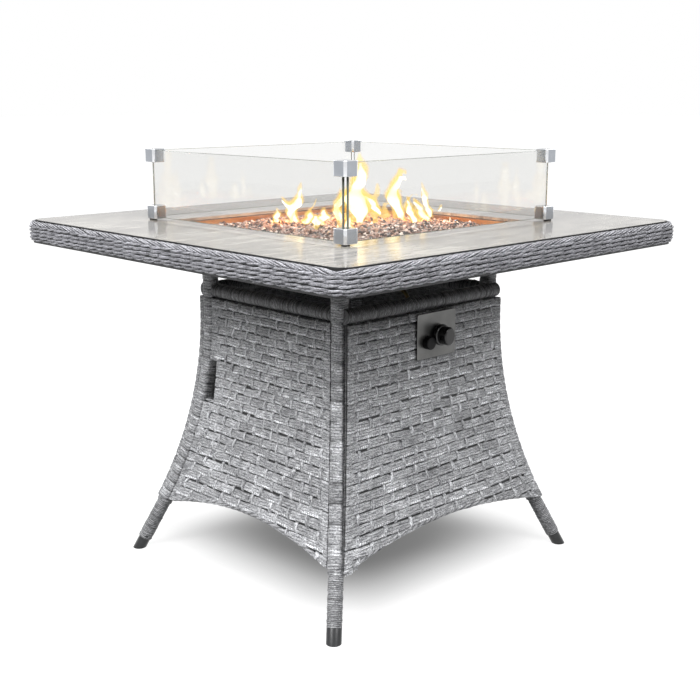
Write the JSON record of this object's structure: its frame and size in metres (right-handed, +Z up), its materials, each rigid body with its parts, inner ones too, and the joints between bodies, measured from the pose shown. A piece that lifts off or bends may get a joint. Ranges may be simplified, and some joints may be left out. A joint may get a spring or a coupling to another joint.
{
  "type": "gas fire pit dining table",
  "caption": "Square garden dining table with a woven flared base, a stone-effect glass top, a gas burner with stones in its middle and a lift-off glass wind guard.",
  "frame": {"origin": "on the floor under the middle of the table top", "axes": "+Z up, -Y towards the front with the control plate, -X towards the access panel"},
  "size_m": [1, 1, 0.89],
  "materials": {
    "woven_rim": "half-round resin wicker, pale grey with fine darker streaks",
    "woven_base": "flat resin wicker, mid grey with brushed streaks",
    "frame_steel": "dark powder coat",
    "printed_glass": "toughened glass printed underneath with a pale streaked stone effect, glossy",
    "clear_glass": "clear toughened glass with dark green edges",
    "gasket": "black extruded gasket",
    "pad": "soft clear pads",
    "stainless": "satin stainless steel",
    "pan_steel": "stainless sheet, heat tinted",
    "gas_brass": "machined brass",
    "black_gloss": "glossy black moulding",
    "black_matte": "matte black moulding",
    "foot_plastic": "dark moulded foot cap",
    "stones": "tumbled lava stones in brown, pink, tan and grey",
    "ceramic": "unglazed white insulator",
    "flame": "burning gas, glowing yellow"
  },
  "bodies": {
    "table": {"table_rim": "woven_rim", "post_front_left": "woven_base", "post_front_right": "woven_base", "post_rear_left": "woven_base", "post_rear_right": "woven_base", "roll_front": "woven_base", "roll_rear": "woven_base", "roll_left": "woven_base", "roll_right": "woven_base", "panel_front": "woven_base", "panel_rear": "woven_base", "panel_right": "woven_base", "rim_frame": "frame_steel", "rail_left": "frame_steel", "rail_right": "frame_steel", "rail_front": "frame_steel", "rail_rear": "frame_steel", "post_plates": "frame_steel", "bar_left": "frame_steel", "bar_right": "frame_steel", "glass_top": "printed_glass", "edge_gasket": "gasket", "pan_seal": "gasket", "glass_pads": "pad", "plate_screws": "stainless", "catch_magnets": "stainless", "control_plate": "stainless", "valve_nut": "stainless", "igniter_nut": "stainless", "burner_ring": "stainless", "sensor_bracket": "stainless", "thermocouple": "stainless", "burner_pan": "pan_steel", "valve_body": "gas_brass", "hose_tail": "gas_brass", "feed_pipe": "gas_brass", "gas_mixer": "gas_brass", "igniter_body": "black_matte", "catch_blocks": "black_matte", "foot_front_left": "foot_plastic", "foot_front_right": "foot_plastic", "foot_rear_left": "foot_plastic", "foot_rear_right": "foot_plastic", "stone_bed": "stones", "spark_electrode": "ceramic"},
    "access_panel": {"access_panel": "woven_base", "strike_discs": "stainless"},
    "wind_guard": {"guard_pane_front": "clear_glass", "guard_pane_rear": "clear_glass", "guard_pane_left": "clear_glass", "guard_pane_right": "clear_glass", "guard_top_clips": "stainless", "guard_base_clips": "stainless", "guard_feet": "gasket"},
    "knob_collar": {"spindle_collar": "stainless"},
    "knob": {"valve_spindle": "stainless", "control_knob": "black_gloss"},
    "igniter_button": {"igniter_button": "black_gloss"}
  },
  "joints": [
    {"name": "access_pull", "type": "slide", "parent": "table", "child": "access_panel", "axis": [-1, 0, 0], "range_m": [0, 0.34]},
    {"name": "guard_lift", "type": "slide", "parent": "table", "child": "wind_guard", "axis": [0, 0, 1], "range_m": [0, 0.2]},
    {"name": "knob_push", "type": "slide", "parent": "table", "child": "knob_collar", "axis": [0, 1, 0], "range_m": [0, 0.004], "stiffness_N_per_m": 1500},
    {"name": "knob_turn", "type": "hinge", "parent": "knob_collar", "child": "knob", "pos_m": [0.024, -0.25, 0.523], "axis": [0, -1, 0], "range_deg": [0, 180]},
    {"name": "button_press", "type": "slide", "parent": "table", "child": "igniter_button", "axis": [0, 1, 0], "range_m": [0, 0.004], "stiffness_N_per_m": 1200}
  ]
}
